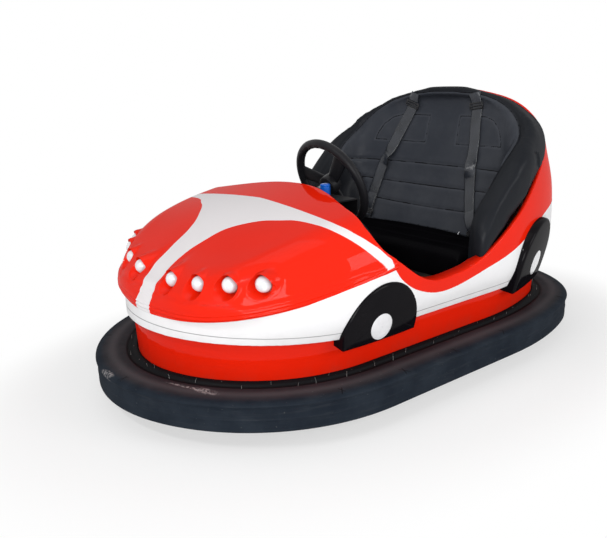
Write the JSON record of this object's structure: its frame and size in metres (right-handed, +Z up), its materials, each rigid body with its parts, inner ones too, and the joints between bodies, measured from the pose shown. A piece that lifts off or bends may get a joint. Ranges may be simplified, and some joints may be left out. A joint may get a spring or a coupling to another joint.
{
  "type": "bumper car",
  "caption": "Single-seat fairground bumper car: moulded body with a raised seat back on a steel chassis inside a rubber bumper ring, steered by a turning front drive wheel.",
  "frame": {"origin": "on the floor under the middle of the car's outer box", "axes": "+Z up, nose toward -Y, the rider's left toward +X"},
  "size_m": [1.15, 1.935, 0.941],
  "materials": {
    "ring_rubber": "worn matt rubber",
    "rim_steel": "satin",
    "frame_steel": "satin",
    "floor_sheet": "satin",
    "bridge_steel": "satin",
    "axle_steel": "machined",
    "column_paint": "satin",
    "skirt_red": "gloss gelcoat",
    "side_white": "gloss gelcoat",
    "tail_red": "gloss gelcoat",
    "hood_red": "gloss gelcoat",
    "lamp_lens": "clear lens over a bright cup",
    "pod_black": "gloss",
    "disc_white": "gloss",
    "liner_black": "matt",
    "dash_black": "matt",
    "switch_blue": "gloss",
    "mat_rubber": "matt",
    "pedal_steel": "scuffed",
    "seat_board": "painted plywood",
    "seat_vinyl": "vinyl with a low sheen",
    "belt_web": "woven webbing",
    "fitting_black": "satin",
    "battery_case": "matt",
    "shaft_steel": "machined",
    "grip_black": "satin",
    "fork_steel": "satin",
    "gear_steel": "oiled",
    "motor_black": "satin",
    "hub_iron": "cast",
    "tyre_rubber": "matt"
  },
  "bodies": {
    "car": {"bumper_tyre": "ring_rubber", "bumper_rim": "rim_steel", "chassis_frame": "frame_steel", "floor_pan": "floor_sheet", "rear_stub_axles": "axle_steel", "steering_bridge": "bridge_steel", "column_tube": "column_paint", "lower_skirt": "skirt_red", "side_band": "side_white", "tail_shell": "tail_red", "hood": "hood_red", "headlamps": "lamp_lens", "wheel_pods": "pod_black", "pod_discs": "disc_white", "cockpit_liner": "liner_black", "dash_panel": "dash_black", "dash_switch": "switch_blue", "floor_mat": "mat_rubber", "accelerator_pedal": "pedal_steel", "seat_base": "seat_board", "seat_cushion": "seat_vinyl", "seat_back": "seat_vinyl", "shoulder_belts": "belt_web", "belt_fittings": "fitting_black", "battery": "battery_case"},
    "steering": {"steering_shaft": "shaft_steel", "steering_wheel_rim": "grip_black", "steering_wheel_hub": "grip_black"},
    "drive_unit": {"drive_fork": "fork_steel", "king_gear": "gear_steel", "drive_motor": "motor_black"},
    "drive_wheel": {"drive_wheel_hub": "hub_iron", "drive_wheel_tyre": "tyre_rubber"},
    "rear_wheel_left": {"rear_wheel_hub_left": "hub_iron", "rear_wheel_tyre_left": "tyre_rubber"},
    "rear_wheel_right": {"rear_wheel_hub_right": "hub_iron", "rear_wheel_tyre_right": "tyre_rubber"}
  },
  "joints": [
    {"name": "steering_turn", "type": "hinge", "parent": "car", "child": "steering", "pos_m": [0, -0.09, 0.62], "axis": [0, 0.9205, 0.3907], "continuous": true},
    {"name": "drive_unit_turn", "type": "hinge", "parent": "car", "child": "drive_unit", "pos_m": [0, -0.5, 0.3], "axis": [0, 0, 1], "continuous": true},
    {"name": "drive_wheel_roll", "type": "hinge", "parent": "drive_unit", "child": "drive_wheel", "pos_m": [0, -0.5, 0.125], "axis": [1, 0, 0], "continuous": true},
    {"name": "rear_left_roll", "type": "hinge", "parent": "car", "child": "rear_wheel_left", "pos_m": [0.31, 0.5, 0.1], "axis": [1, 0, 0], "continuous": true},
    {"name": "rear_right_roll", "type": "hinge", "parent": "car", "child": "rear_wheel_right", "pos_m": [-0.31, 0.5, 0.1], "axis": [1, 0, 0], "continuous": true}
  ],
  "couplings": [
    {"joint": "drive_unit_turn", "follows": "steering_turn", "ratio": 1}
  ]
}
